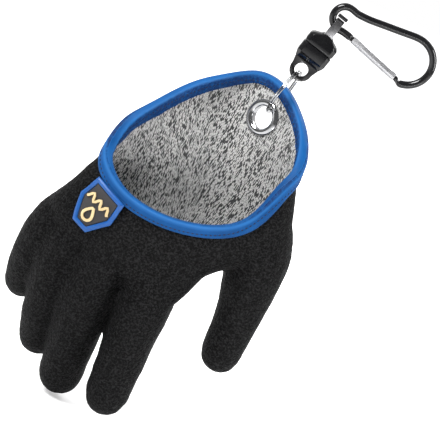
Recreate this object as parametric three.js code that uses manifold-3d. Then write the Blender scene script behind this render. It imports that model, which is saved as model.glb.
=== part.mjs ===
// A right-hand fishing glove, seen as a hand fills it: a knitted grey glove dipped in black
// crinkle latex, a blue tape bound round its slanted mouth, a moulded badge on the back of the
// hand, a steel eyelet in the palm-side wall, and a split ring, a magnetic clip and a small
// carabiner that hang the glove from a belt.
//
// Millimetres, +Z up. The origin is the middle of the mouth. The fingers point down (-Z), the
// thumb is at +X, the back of the hand faces -Y and the palm faces +Y.

import * as THREE from "three";
import { mergeVertices } from "three/addons/utils/BufferGeometryUtils.js";
import Module from "manifold-3d";

const wasm = await Module();
wasm.setup();

// Driving dimensions: the glove
const mouthWidth = 108; // little-finger side to thumb side, at the mouth
const mouthDepth = 66; // back of the hand to palm, at the mouth
const mouthRise = 46.5; // how far the mouth's edge runs above and below its middle
const palmWidth = 104; // across the roots of the four fingers
const palmDepth = 37; // thickness of the hand at the finger roots
const palmReach = 104; // middle of the mouth down to the webs between the fingers
const fingerLength = 114; // from inside the palm to the tip
const fingerWidth = 28.8;
const thumbLength = 100;
const thumbWidth = 40; // at the ball of the thumb
const coatWall = 1.5; // latex-coated knit
const linerWall = 1; // bare knit inside, where it shows
const linerEnd = 64; // how far below the middle of the mouth the bare knit is followed
const seat = 0.3; // gap between pieces that touch

// Driving dimensions: the bound edge
const tapeWidth = 6.4; // on the outside, below the edge
const tapeInner = 6.7; // on the inside
const tapeThumbTuck = 0.4; // share of that hidden in the turn of the wall beside the thumb
const tapeThick = 1;

// Driving dimensions: the badge
const badgeLength = 30;
const badgeWidth = 28;
const badgeRim = 3; // width of the blue frame
const badgeThick = 2;
const badgeTurn = 229.5; // degrees round the mouth, from the thumb side past the palm
const badgeLap = 1.6; // how far the badge's top lies over the tape
const badgeLean = 20; // degrees, foot towards the little finger
const reliefThick = 0.8;
const reliefWidth = 1.7;

// Driving dimensions: the eyelet and the split ring
const eyeletBore = 14;
const eyeletFlange = 23.4;
const eyeletRoll = 1.5; // height of the rolled flange
const eyeletBarrel = 0.9; // wall of the barrel
const eyeletTurn = 64; // degrees round the mouth
const eyeletInset = 24; // middle of the eyelet below the mouth's edge
const eyeletSwing = 14; // degrees, how far the ring pulls its face towards the thumb
const ringDiameter = 33.6; // outside
const ringWire = 2.4;
const ringLean = 12.5; // degrees from upright, towards the thumb
const ringTurn = 12; // degrees that the ring's plane is turned from the line of sight

// Driving dimensions: the magnetic clip
const clipWidth = 20;
const clipDepth = 13;
const tabThick = 3.6;
const tabRadius = 7.2;
const tabBore = 8.6;
const shoulder = 8.2; // lower hole to the clip's shoulder
const lowerHalf = 16.4; // lower hole to the parting line
const upperHalf = 7; // parting line to the upper shoulder
const bossRise = 3; // upper shoulder to the boss's top
const bossWidth = 7.4;
const clipLean = 13.5; // degrees from upright, towards the thumb

// Driving dimensions: the strap that swivels on the clip
const rodAt = 33; // lower hole to the carabiner's rod
const strapWidth = 5;
const strapThick = 1.3;
const strapInside = 6.4; // between its two legs
const shankWidth = 3;
const shankLength = 6;
const barLength = 6.6;
const barWidth = 2.4;

// Driving dimensions: the carabiner
const rodWidth = 5.2;
const smallBend = 7.6; // radius of the rod's middle line at the small end
const bigBend = 15;
const bendSpacing = 46; // between the middles of the two bends
const strapOn = 254; // degrees round the small bend, from the big bend past the spine
const gateWidth = 4.8;
const gateLength = 31.5; // pivot to nose
const tongueThick = 1.4;
const rivetWidth = 1.6;
const carabinerDroop = 7; // degrees below level

// The hand from the mouth down to the finger roots. drop: below the middle of the mouth, as a
// share of palmReach. palm: how far the row follows the palm's sizes instead of the mouth's.
// half and shift: half width and middle, as shares of the width. near and far: the back of the
// hand and the palm, as shares of the depth. square: 2 is an ellipse, more is boxier.
// arch: how far the little-finger side curls towards the palm, in mm for each mm of width.
const handRows = [
  { drop: -0.62, palm: 0, half: 0.44, shift: 0.055, near: 0.44, far: 0.57, square: 1.8, arch: 0 },
  { drop: -0.24, palm: 0, half: 0.474, shift: 0.049, near: 0.42, far: 0.55, square: 1.8, arch: 0 },
  { drop: 0, palm: 0, half: 0.509, shift: 0.046, near: 0.4, far: 0.5, square: 1.85, arch: 0 },
  { drop: 0.19, palm: 0.2, half: 0.555, shift: 0.066, near: 0.42, far: 0.48, square: 1.9, arch: 0.01 },
  { drop: 0.34, palm: 0.4, half: 0.592, shift: 0.066, near: 0.44, far: 0.49, square: 2, arch: 0.03 },
  { drop: 0.48, palm: 0.6, half: 0.6, shift: 0.012, near: 0.47, far: 0.5, square: 2.1, arch: 0.05 },
  { drop: 0.65, palm: 0.8, half: 0.51, shift: -0.16, near: 0.5, far: 0.5, square: 2.3, arch: 0.09 },
  { drop: 0.82, palm: 1, half: 0.512, shift: -0.236, near: 0.45, far: 0.45, square: 2.4, arch: 0.13 },
  { drop: 0.95, palm: 1, half: 0.5, shift: -0.276, near: 0.3, far: 0.32, square: 2.4, arch: 0.15 },
];

// The mouth's edge. turn: degrees round the mouth from the thumb side, past the palm.
// rise: its height as a share of mouthRise.
const mouthRows = [
  { turn: 0, rise: 0.26 },
  { turn: 30, rise: 0.7 },
  { turn: 60, rise: 1 },
  { turn: 90, rise: 0.98 },
  { turn: 120, rise: 0.65 },
  { turn: 135, rise: 0.36 },
  { turn: 150, rise: 0.05 },
  { turn: 170, rise: -0.21 },
  { turn: 190, rise: -0.6 },
  { turn: 210, rise: -0.77 },
  { turn: 240, rise: -0.97 },
  { turn: 270, rise: -0.98 },
  { turn: 300, rise: -0.69 },
  { turn: 330, rise: -0.05 },
];

// Index, middle, ring and little finger. side, back and drop: where a finger's loft starts
// inside the palm, as shares of palmWidth, palmDepth and palmReach. long and thick: shares of
// fingerLength and fingerWidth. lean and bend: degrees towards the thumb at the root, and
// added to it by the tip. curl: degrees towards the palm at the tip.
const fingerRows = [
  { side: 0.056, back: -0.07, drop: 0.67, long: 1.025, thick: 1.07, lean: 1, bend: 2, curl: 8 },
  { side: -0.253, back: -0.03, drop: 0.67, long: 1.1, thick: 1.1, lean: -1.5, bend: 7, curl: 22 },
  { side: -0.468, back: 0.1, drop: 0.66, long: 0.995, thick: 1.04, lean: -5, bend: 14, curl: 30 },
  { side: -0.545, back: 0.24, drop: 0.66, long: 0.765, thick: 0.93, lean: -25, bend: 31, curl: 38 },
];

// A finger's half width along its length, as a share of half its thickness.
const fingerTaper = [
  { along: 0, share: 0.96 },
  { along: 0.25, share: 1.16 },
  { along: 0.45, share: 1.1 },
  { along: 0.7, share: 0.99 },
  { along: 1, share: 0.88 },
];

// The thumb: side and drop as shares of palmWidth and palmReach, back of palmDepth.
const thumbStart = { side: 0.513, back: 0.08, drop: 0.3, lean: 14, bend: -16, curl: 6 };
const thumbTaper = [
  { along: 0, share: 0.88 },
  { along: 0.21, share: 1.01 },
  { along: 0.36, share: 0.94 },
  { along: 0.49, share: 0.82 },
  { along: 0.7, share: 0.72 },
  { along: 0.87, share: 0.66 },
  { along: 1, share: 0.63 },
];

// The badge's outline. across: share of badgeWidth from its middle. down: share of
// badgeLength from its top edge.
const badgeCorners = [
  { across: -0.43, down: 0 },
  { across: 0.43, down: 0 },
  { across: 0.5, down: 0.5 },
  { across: 0.2, down: 1 },
  { across: -0.2, down: 1 },
  { across: -0.5, down: 0.5 },
];

const degrees = Math.PI / 180;
const vec = (x, y, z) => new THREE.Vector3(x, y, z);
const mix = (a, b, t) => a + (b - a) * t;
const smooth = (t) => {
  const s = Math.min(1, Math.max(0, t));
  return s * s * (3 - 2 * s);
};

// A smooth curve through rows of a table, read at x. The rows' column key goes up.
function through(rows, key, column, x) {
  let i = 0;
  while (i < rows.length - 2 && x > rows[i + 1][key]) i += 1;
  const at = (k) => rows[Math.min(rows.length - 1, Math.max(0, k))];
  const span = rows[i + 1][key] - rows[i][key];
  const t = Math.min(1, Math.max(0, (x - rows[i][key]) / span));
  const slope = (a, b) => ((at(b)[column] - at(a)[column]) / (at(b)[key] - at(a)[key])) * span;
  const m0 = slope(i - 1, i + 1);
  const m1 = slope(i, i + 2);
  const p0 = rows[i][column];
  const p1 = rows[i + 1][column];
  return (
    p0 * (2 * t ** 3 - 3 * t ** 2 + 1) +
    m0 * (t ** 3 - 2 * t ** 2 + t) +
    p1 * (-2 * t ** 3 + 3 * t ** 2) +
    m1 * (t ** 3 - t ** 2)
  );
}

// Solids, joined and cut

function solidOf(geometry) {
  const bare = new THREE.BufferGeometry();
  bare.setAttribute("position", geometry.getAttribute("position"));
  if (geometry.index) bare.setIndex(geometry.index);
  const merged = mergeVertices(bare, 1e-4);
  return new wasm.Manifold(
    new wasm.Mesh({
      numProp: 3,
      vertProperties: new Float32Array(merged.attributes.position.array),
      triVerts: new Uint32Array(merged.index.array),
    }),
  );
}

function geometryOf(solid) {
  const mesh = solid.getMesh();
  const geometry = new THREE.BufferGeometry();
  geometry.setAttribute("position", new THREE.BufferAttribute(mesh.vertProperties, 3));
  geometry.setIndex(new THREE.BufferAttribute(mesh.triVerts, 1));
  const flat = geometry.toNonIndexed();
  flat.computeVertexNormals();
  return flat;
}

const joined = (solids) => solids.reduce((a, b) => a.add(b));

// A closed body through rings of points. Each end is closed to the middle of its ring, or
// to a given point, and a ring of rings closes on itself.
function loft(rings, { closed = false, start = null, end = null } = {}) {
  const sides = rings[0].length;
  const points = rings.flat().flatMap((p) => [p.x, p.y, p.z]);
  const faces = [];
  const last = closed ? rings.length : rings.length - 1;
  for (let i = 0; i < last; i += 1) {
    const j = (i + 1) % rings.length;
    for (let k = 0; k < sides; k += 1) {
      const n = (k + 1) % sides;
      const [a, b, c, d] = [i * sides + k, i * sides + n, j * sides + n, j * sides + k];
      faces.push(a, b, c, a, c, d);
    }
  }
  const middle = (ring) => ring.reduce((sum, p) => sum.add(p), vec(0, 0, 0)).divideScalar(sides);
  if (!closed) {
    const ends = [start ?? middle(rings[0]), end ?? middle(rings.at(-1))];
    for (const [e, p] of ends.entries()) {
      const centre = points.length / 3;
      points.push(p.x, p.y, p.z);
      const first = e === 0 ? 0 : (rings.length - 1) * sides;
      for (let k = 0; k < sides; k += 1) {
        const [a, b] = [first + k, first + ((k + 1) % sides)];
        faces.push(...(e === 0 ? [a, centre, b] : [b, centre, a]));
      }
    }
  }
  const geometry = new THREE.BufferGeometry();
  geometry.setAttribute("position", new THREE.Float32BufferAttribute(points, 3));
  geometry.setIndex(faces);
  if (volumeOf(geometry) < 0) {
    for (let i = 0; i < faces.length; i += 3) {
      [faces[i + 1], faces[i + 2]] = [faces[i + 2], faces[i + 1]];
    }
    geometry.setIndex(faces);
  }
  return geometry;
}

function volumeOf(geometry) {
  const { array } = geometry.getAttribute("position");
  const index = geometry.index.array;
  const corner = (i) => vec(array[3 * i], array[3 * i + 1], array[3 * i + 2]);
  let sum = 0;
  for (let i = 0; i < index.length; i += 3) {
    const [a, b, c] = [corner(index[i]), corner(index[i + 1]), corner(index[i + 2])];
    sum += a.dot(b.cross(c)) / 6;
  }
  return sum;
}

// The hand's surface

// One level of the hand, read from handRows at height z and taken in by a wall of the given
// thickness.
function level(z, inset) {
  const drop = -z / palmReach;
  const read = (column) => through(handRows, "drop", column, drop);
  const palm = Math.min(1, Math.max(0, read("palm")));
  const width = mix(mouthWidth, palmWidth, palm);
  const depth = mix(mouthDepth, palmDepth, palm);
  const near = read("near") * depth;
  const far = read("far") * depth;
  return {
    x: read("shift") * width,
    halfX: read("half") * width - inset,
    y: (far - near) / 2,
    halfY: (far + near) / 2 - inset,
    power: 2 / read("square"),
    arch: read("arch"),
  };
}

function handPoint(turn, z, inset = 0) {
  const l = level(z, inset);
  const bow = (v) => Math.sign(v) * Math.abs(v) ** l.power;
  const across = l.halfX * bow(Math.cos(turn * degrees));
  const deep = l.halfY * bow(Math.sin(turn * degrees));
  return vec(l.x + across, l.y + deep - l.arch * across, z);
}

// How far outside (over 0) or inside the hand's outer surface a point is, as a share.
function outside(p) {
  const l = level(p.z, 0);
  const across = (p.x - l.x) / l.halfX;
  const deep = (p.y - l.y + l.arch * (p.x - l.x)) / l.halfY;
  const square = 2 / l.power;
  return Math.abs(across) ** square + Math.abs(deep) ** square - 1;
}

const mouthLoop = [
  { ...mouthRows.at(-1), turn: mouthRows.at(-1).turn - 360 },
  ...mouthRows,
  { ...mouthRows[0], turn: 360 },
  { ...mouthRows[1], turn: 360 + mouthRows[1].turn },
];
const mouthHeight = (turn) =>
  mouthRise * through(mouthLoop, "turn", "rise", ((turn % 360) + 360) % 360);

// A surface's outward normal and its two directions: for a degree round and a mm up
function frameOn(surface, turn, z, inset) {
  const step = 0.5;
  const round = surface(turn + step, z, inset).sub(surface(turn - step, z, inset));
  const up = surface(turn, z + step, inset).sub(surface(turn, z - step, inset));
  const normal = round.clone().cross(up).normalize();
  return { point: surface(turn, z, inset), round, up, normal };
}

// The eyelet's place on the outer surface. The cloth lies flat under its flange.
const eyelet = frameOn(handPoint, eyeletTurn, mouthHeight(eyeletTurn) - eyeletInset, 0);
eyelet.normal.applyAxisAngle(vec(0, 0, 1), -eyeletSwing * degrees);
const flatRadius = eyeletFlange / 2 + 5;
const flatFade = 26; // beyond flatRadius, where the cloth is round again

function flattened(p, inset) {
  const rise = p.clone().sub(eyelet.point).dot(eyelet.normal) + inset;
  const along = p.clone().sub(eyelet.point).addScaledVector(eyelet.normal, inset - rise);
  const share = 1 - smooth((along.length() - flatRadius) / flatFade);
  return p.clone().addScaledVector(eyelet.normal, -rise * share);
}

const wallPoint = (turn, z, inset) => flattened(handPoint(turn, z, inset), inset);

// Turns spaced evenly along the mouth's edge
const handSides = 41;
const handTurns = (() => {
  const fine = 720;
  const edge = (k) => handPoint((k * 360) / fine, mouthHeight((k * 360) / fine));
  const walked = [0];
  for (let k = 1; k <= fine; k += 1) walked.push(walked[k - 1] + edge(k).distanceTo(edge(k - 1)));
  return Array.from({ length: handSides }, (_, i) => {
    const goal = (walked[fine] * i) / handSides;
    const k = walked.findIndex((length) => length > goal) - 1;
    return ((k + (goal - walked[k]) / (walked[k + 1] - walked[k])) * 360) / fine;
  });
})();

// The hand and cuff as a closed body, taken in by inset. lift raises its open end past the
// mouth's edge, for a body that hollows another.
const handSteps = 9;
const levelEdge = 5; // how far in the wall's top stays level
const webDrop = 0.88; // at webSide, sloping up to the little finger
const webSide = 0;
const webSlope = 0.24;
const webRows = [
  { drop: 0.05, keep: 0.88 },
  { drop: 0.08, keep: 0.6 },
];

function handBody(inset, lift = 0) {
  const rings = [];
  const floorAt = (turn) => {
    const flat = -webDrop * palmReach;
    return flat - webSlope * (handPoint(turn, flat).x - webSide);
  };
  const edge = (turn, more) => wallPoint(turn, mouthHeight(turn), inset + more);
  if (lift > 0) rings.push(handTurns.map((turn) => edge(turn, 0).add(vec(0, 0, lift))));
  else rings.push(handTurns.map((turn) => edge(turn, levelEdge)));
  for (let i = 0; i <= handSteps; i += 1) {
    const height = (turn) => mix(mouthHeight(turn), floorAt(turn), i / handSteps);
    rings.push(handTurns.map((turn) => wallPoint(turn, height(turn), inset)));
  }
  const last = rings.at(-1);
  const middle = last.reduce((sum, p) => sum.add(p), vec(0, 0, 0)).divideScalar(handSides);
  for (const row of webRows) {
    const drop = inset * row.keep - row.drop * palmReach;
    rings.push(last.map((p) => middle.clone().lerp(p, row.keep).add(vec(0, 0, drop))));
  }
  const bottom = middle.clone().add(vec(0, 0, inset - webRows.at(-1).drop * palmReach));
  return solidOf(loft(rings, { end: bottom }));
}

// A finger or thumb: stations along a bending middle line with a round tip
const limbSides = 12;
const limbSteps = 5;
const tipAngles = [0, 35, 65];
const rootAngles = [50];
const limbFlat = 0.95; // depth over width

function limb({ root, length, width, taper, lean, bend, curl }, inset) {
  const radiusAt = (s) => (through(taper, "along", "share", s) * width) / 2;
  const heading = (s) => {
    const sideways = (lean + bend * s) * degrees;
    const back = curl * s * degrees;
    return vec(Math.sin(sideways), Math.sin(back), -Math.cos(back) * Math.cos(sideways)).normalize();
  };
  const tipRadius = radiusAt(1);
  const place = (s) => {
    const p = root.clone();
    const slices = 24;
    for (let i = 0; i < slices; i += 1) {
      p.addScaledVector(heading(((i + 0.5) * s) / slices), (s * (length - tipRadius)) / slices);
    }
    return p;
  };
  const ring = (s, share, ahead) => {
    const direction = heading(s);
    const radius = radiusAt(s) - inset;
    const centre = place(s).addScaledVector(direction, ahead * radius);
    const side = direction.clone().cross(vec(0, 1, 0)).normalize();
    const deep = side.clone().cross(direction);
    return Array.from({ length: limbSides }, (_, k) => {
      const a = (k * 2 * Math.PI) / limbSides;
      return centre
        .clone()
        .addScaledVector(side, radius * share * Math.cos(a))
        .addScaledVector(deep, (radiusAt(s) * limbFlat - inset) * share * Math.sin(a));
    });
  };
  const round = (s, angle, sign) =>
    ring(s, Math.cos(angle * degrees), sign * Math.sin(angle * degrees));
  const rings = [
    ...rootAngles.map((angle) => round(0, angle, -1)),
    ...Array.from({ length: limbSteps }, (_, i) => ring(i / limbSteps, 1, 0)),
    ...tipAngles.map((angle) => round(1, angle, 1)),
  ];
  const start = place(0).addScaledVector(heading(0), inset - radiusAt(0));
  const end = place(1).addScaledVector(heading(1), tipRadius - inset);
  return solidOf(loft(rings, { start, end }));
}

const limbOf = (row, length, width, taper) => ({
  root: vec(row.side * palmWidth, row.back * palmDepth, -row.drop * palmReach),
  length,
  width,
  taper,
  lean: row.lean,
  bend: row.bend,
  curl: row.curl,
});
const thumb = limbOf(thumbStart, thumbLength, thumbWidth, thumbTaper);
const limbs = [
  ...fingerRows.map((row) =>
    limbOf(row, row.long * fingerLength, row.thick * fingerWidth, fingerTaper),
  ),
  thumb,
];

// A round cutter or boss: a cylinder along a direction
function cylinder(centre, direction, radius, length, sides = 24) {
  const geometry = new THREE.CylinderGeometry(radius, radius, length, sides);
  const turned = new THREE.Quaternion().setFromUnitVectors(vec(0, 1, 0), direction.clone().normalize());
  geometry.applyQuaternion(turned).translate(centre.x, centre.y, centre.z);
  return solidOf(geometry);
}

function block(size, centre) {
  return solidOf(new THREE.BoxGeometry(size.x, size.y, size.z).translate(centre.x, centre.y, centre.z));
}

const handLift = 40;
const clothHole = cylinder(
  eyelet.point,
  eyelet.normal,
  eyeletBore / 2 + eyeletBarrel + seat,
  40,
);

// The coated glove: one wall from the mouth to the finger tips
function coatedShell() {
  const outer = joined([handBody(0), ...limbs.map((l) => limb(l, 0))]);
  const hollow = joined([handBody(coatWall, handLift), ...limbs.map((l) => limb(l, coatWall))]);
  return outer.subtract(hollow).subtract(clothHole);
}

// The bare knit that shows inside the mouth, down to the finger roots
function knitLiner() {
  const outerInset = coatWall + seat;
  const innerInset = outerInset + linerWall;
  const outer = joined([handBody(outerInset), limb(thumb, outerInset)]);
  const hollow = joined([handBody(innerInset, handLift), limb(thumb, innerInset)]);
  const belowEnd = block(vec(400, 400, 400), vec(0, 0, -linerEnd - 200));
  return outer.subtract(hollow).subtract(belowEnd).subtract(clothHole);
}

// The tape that binds the mouth's edge: a U folded over both faces of the wall. Each leg is
// walked over the surface, square to the edge.
function tapePoint(turn, down, inset, rise) {
  const step = 0.5;
  const edge = (t) => wallPoint(t, mouthHeight(t), inset);
  const along = edge(turn + step).sub(edge(turn - step)).normalize();
  const start = frameOn(wallPoint, turn, mouthHeight(turn), inset);
  const away = start.normal.clone().cross(along).normalize();
  if (away.dot(start.up) > 0) away.negate();
  const walk = 5;
  let [turnAt, zAt] = [turn, mouthHeight(turn)];
  for (let i = 0; i < walk; i += 1) {
    const { round, up } = frameOn(wallPoint, turnAt, zAt, inset);
    const [rr, uu, ru] = [round.dot(round), up.dot(up), round.dot(up)];
    const [ar, au] = [away.dot(round), away.dot(up)];
    const wide = rr * uu - ru * ru;
    turnAt += (((ar * uu - au * ru) / wide) * down) / walk;
    zAt += (((au * rr - ar * ru) / wide) * down) / walk;
  }
  const facing = frameOn(wallPoint, turnAt, zAt, inset).normal;
  return wallPoint(turnAt, zAt, inset).addScaledVector(facing, rise);
}

const tapePlay = 0.15;
const tapeLift = seat + tapePlay; // cloth to the outer leg
const tapeInside = seat + 0.5; // cloth to the inner leg
const endLift = 1.5; // more of it at the mouth's two tight ends

function boundTape() {
  const stack = coatWall + seat + linerWall;
  const shoulderAt = 0.8; // where the fold's rounding starts, below the edge
  const overEdge = seat + tapePlay;
  const rings = handTurns.map((turn) => {
    const lift = tapeLift + endLift * Math.cos(turn * degrees) ** 8;
    const inner = tapeInner * (1 - tapeThumbTuck * Math.max(0, Math.cos(turn * degrees)) ** 3);
    return [
      tapePoint(turn, tapeWidth, 0, lift + tapeThick),
      tapePoint(turn, tapeWidth / 2, 0, lift + tapeThick),
      tapePoint(turn, shoulderAt, 0, lift + tapeThick),
      tapePoint(turn, -overEdge - 0.6 * tapeThick, 0, lift + 0.5 * tapeThick),
      tapePoint(turn, -overEdge - tapeThick, stack / 2, 0),
      tapePoint(turn, -overEdge - 0.6 * tapeThick, stack, -tapeInside - 0.5 * tapeThick),
      tapePoint(turn, shoulderAt, stack, -tapeInside - tapeThick),
      tapePoint(turn, inner, stack, -tapeInside - tapeThick),
      tapePoint(turn, inner, stack, -tapeInside),
      tapePoint(turn, -overEdge, stack, -tapeInside),
      tapePoint(turn, -overEdge, 0, lift),
      tapePoint(turn, tapeWidth / 2, 0, lift),
      tapePoint(turn, tapeWidth, 0, lift),
    ];
  });
  return solidOf(loft(rings, { closed: true }));
}

// The badge lies on the back of the hand, its top edge over the tape
const badgeTop = tapePoint(badgeTurn, tapeWidth - badgeLap, 0, 0);
const badgeFrame = (() => {
  const mid = tapePoint(badgeTurn, tapeWidth - badgeLap + badgeLength / 2, 0, 0);
  const step = 4;
  const offset = (x, z) => {
    const p = mid.clone().add(vec(x, 0, z));
    return onSurface(p, vec(0, -1, 0));
  };
  const across = offset(step, 0).sub(offset(-step, 0));
  const upward = offset(0, step).sub(offset(0, -step));
  const normal = across.clone().cross(upward).normalize();
  const down = vec(-Math.sin(badgeLean * degrees), 0, -Math.cos(badgeLean * degrees));
  down.addScaledVector(normal, -down.dot(normal)).normalize();
  const sideways = normal.clone().cross(down).normalize();
  if (sideways.x < 0) sideways.negate();
  const middle = badgeTop.clone().addScaledVector(down, badgeLength / 2);
  return { middle, normal, down, across: sideways };
})();

// Where a line from p meets the hand's outer surface
function onSurface(p, direction) {
  let [low, high] = [-30, 30];
  for (let i = 0; i < 40; i += 1) {
    const t = (low + high) / 2;
    if (outside(p.clone().addScaledVector(direction, t)) > 0) high = t;
    else low = t;
  }
  return p.clone().addScaledVector(direction, (low + high) / 2);
}

// A point of the badge: across and down in mm from its middle, height above the cloth. It
// climbs onto the tape near its top edge.
function badgePoint(across, down, height) {
  const { middle, normal } = badgeFrame;
  const p = middle
    .clone()
    .addScaledVector(badgeFrame.across, across)
    .addScaledVector(badgeFrame.down, down);
  const onto = 1 - smooth((down + badgeLength / 2 - badgeLap - 1.5) / 6);
  const climb = (tapeThick + tapeLift + tapePlay) * onto;
  return onSurface(p, normal).addScaledVector(normal, height + climb + seat);
}

// The badge's outline, shrunk by inset, as points in its own plane
const badgeEdgeSteps = 3;

function badgeOutline(inset) {
  const points = badgeCorners.map((c) => [c.across * badgeWidth, (c.down - 0.5) * badgeLength]);
  const count = points.length;
  const moved = points.map((p, i) => {
    const [before, after] = [points[(i + count - 1) % count], points[(i + 1) % count]];
    const unit = (a, b) => {
      const l = Math.hypot(b[0] - a[0], b[1] - a[1]);
      return [(b[0] - a[0]) / l, (b[1] - a[1]) / l];
    };
    const [d0, d1] = [unit(before, p), unit(p, after)];
    const [n0, n1] = [[-d0[1], d0[0]], [-d1[1], d1[0]]];
    const scale = inset / (1 + n0[0] * n1[0] + n0[1] * n1[1]);
    return [p[0] + (n0[0] + n1[0]) * scale, p[1] + (n0[1] + n1[1]) * scale];
  });
  return moved.flatMap((p, i) => {
    const next = moved[(i + 1) % count];
    return Array.from({ length: badgeEdgeSteps }, (_, k) => {
      const t = k / badgeEdgeSteps;
      return [mix(p[0], next[0], t), mix(p[1], next[1], t)];
    });
  });
}

function badgeRing() {
  const outer = badgeOutline(0);
  const inner = badgeOutline(badgeRim);
  const crest = badgeOutline(badgeRim / 2);
  const crown = 0.85;
  const rings = outer.map((p, i) => [
    badgePoint(...p, 0),
    badgePoint(...p, badgeThick * 0.6),
    badgePoint(...crest[i], badgeThick * crown + 0.3),
    badgePoint(...inner[i], badgeThick * 0.6),
    badgePoint(...inner[i], 0),
  ]);
  return solidOf(loft(rings, { closed: true }));
}

const plateThick = badgeThick * 0.55;

function badgePlate() {
  const edge = badgeOutline(badgeRim + seat);
  const shares = [1, 0.66, 0.33];
  const at = (share, height) => edge.map((p) => badgePoint(p[0] * share, p[1] * share, height));
  const rings = [
    ...shares.toReversed().map((s) => at(s, 0)),
    ...shares.map((s) => at(s, plateThick)),
  ];
  const ends = { start: badgePoint(0, 0, 0), end: badgePoint(0, 0, plateThick) };
  return solidOf(loft(rings, ends));
}

// Raised relief on the badge: a ribbon along a path in the badge's plane
function badgeRibbon(path, closed) {
  const foot = plateThick + seat + 0.1;
  const crest = foot + reliefThick;
  const rings = path.map((p, i) => {
    const before = path[closed ? (i + path.length - 1) % path.length : Math.max(0, i - 1)];
    const after = path[closed ? (i + 1) % path.length : Math.min(path.length - 1, i + 1)];
    const l = Math.hypot(after[0] - before[0], after[1] - before[1]);
    const n = [-(after[1] - before[1]) / l, (after[0] - before[0]) / l];
    const side = (s, height) =>
      badgePoint(p[0] + (n[0] * s * reliefWidth) / 2, p[1] + (n[1] * s * reliefWidth) / 2, height);
    return [side(-1, foot), side(-1, crest), side(1, crest), side(1, foot)];
  });
  return solidOf(loft(rings, { closed }));
}

// Three wave crests across the badge and a drop of water below them
const waveLength = 0.66; // share of badgeWidth
const waveHeight = 0.07; // share of badgeLength
const waveAt = -0.14; // share of badgeLength, from the badge's middle
const waveCrests = 3;
const dropAt = 0.2;
const dropSize = 0.11;

function badgeWave() {
  const steps = waveCrests * 6;
  const path = Array.from({ length: steps + 1 }, (_, i) => {
    const t = i / steps;
    const swing = Math.cos(t * waveCrests * 2 * Math.PI);
    return [(t - 0.5) * waveLength * badgeWidth, (waveAt + waveHeight * swing) * badgeLength];
  });
  return badgeRibbon(path, false);
}

function badgeDrop() {
  const radius = dropSize * badgeLength;
  const path = Array.from({ length: 14 }, (_, i) => {
    const a = (i / 14) * 2 * Math.PI;
    const point = 0.7 * Math.max(0, -Math.sin(a)) ** 3;
    return [
      radius * Math.cos(a) * (1 - 0.5 * point),
      dropAt * badgeLength + radius * (Math.sin(a) - point),
    ];
  });
  return badgeRibbon(path, true);
}

// The eyelet: rolled flanges on both faces of the cloth, joined by a barrel
const clothMiddle = eyelet.point
  .clone()
  .addScaledVector(eyelet.normal, -(coatWall + seat + linerWall) / 2);

function eyeletBody() {
  const bore = eyeletBore / 2;
  const flange = eyeletFlange / 2;
  const grip = (coatWall + seat + linerWall) / 2 + seat;
  const rollSteps = 4;
  const roll = (sign) =>
    Array.from({ length: rollSteps + 1 }, (_, i) => {
      const a = (i / rollSteps) * Math.PI;
      const r = mix(bore, flange, (1 - Math.cos(a)) / 2);
      return new THREE.Vector2(r, sign * (grip + 0.25 + (eyeletRoll - 0.25) * Math.sin(a)));
    });
  const profile = [
    ...roll(1),
    new THREE.Vector2(flange, grip),
    new THREE.Vector2(bore + eyeletBarrel, grip),
    new THREE.Vector2(bore + eyeletBarrel, -grip),
    new THREE.Vector2(flange, -grip),
    ...roll(-1).toReversed(),
  ];
  const geometry = new THREE.LatheGeometry([...profile, profile[0]].toReversed(), 22);
  const turned = new THREE.Quaternion().setFromUnitVectors(vec(0, 1, 0), eyelet.normal);
  geometry.applyQuaternion(turned).translate(clothMiddle.x, clothMiddle.y, clothMiddle.z);
  return solidOf(geometry);
}

// The split ring: one wire wound twice, which passes through the eyelet and the clip's tab
const ringSlack = 1.15; // between the wire and the hole that it pulls on
const ringMean = (ringDiameter - ringWire) / 2;
const ringUp = vec(Math.sin(ringLean * degrees), 0, Math.cos(ringLean * degrees));
const ringDeep = vec(Math.sin(ringTurn * degrees), Math.cos(ringTurn * degrees), 0);
ringDeep.addScaledVector(ringUp, -ringDeep.dot(ringUp)).normalize();
const ringFoot = clothMiddle.clone().addScaledVector(ringUp, eyeletBore / 2 - ringWire / 2 - ringSlack);
const ringCentre = ringFoot.clone().addScaledVector(ringUp, ringMean);
const tabHole = ringCentre
  .clone()
  .addScaledVector(ringUp, ringMean + tabBore / 2 - ringWire / 2 - ringSlack);

function splitRing() {
  const start = 60; // degrees, where the wire begins
  const crossing = 24; // the wire steps over to the second turn across this angle
  const angles = [];
  for (let i = 0; i <= 17; i += 1) angles.push(start + ((360 - crossing) * i) / 17);
  for (let i = 1; i <= 3; i += 1) angles.push(start + 360 - crossing + (crossing * i) / 3);
  for (let i = 1; i <= 17; i += 1) angles.push(start + 360 + ((360 - crossing) * i) / 17);
  const axis = ringUp.clone().cross(ringDeep).normalize();
  const coilGap = 0.2;
  const thick = (ringWire - coilGap) / 2;
  const rings = [];
  for (const angle of angles) {
    const a = angle * degrees;
    const over = smooth((angle - (start + 360 - crossing)) / crossing);
    const lift = (over - 0.5) * (thick + coilGap);
    const outward = ringUp
      .clone()
      .multiplyScalar(Math.cos(a))
      .addScaledVector(ringDeep, Math.sin(a));
    const centre = ringCentre.clone().addScaledVector(outward, ringMean).addScaledVector(axis, lift);
    const corner = (r, h) =>
      centre.clone().addScaledVector(outward, r * ringWire * 0.5).addScaledVector(axis, h * thick * 0.5);
    rings.push([
      corner(-1, -0.6),
      corner(-0.5, -1),
      corner(0.5, -1),
      corner(1, -0.6),
      corner(1, 0.6),
      corner(0.5, 1),
      corner(-0.5, 1),
      corner(-1, 0.6),
    ]);
  }
  return solidOf(loft(rings));
}

// The magnetic clip, in its own frame: the lower hole at the origin, its axis along +Z

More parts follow.
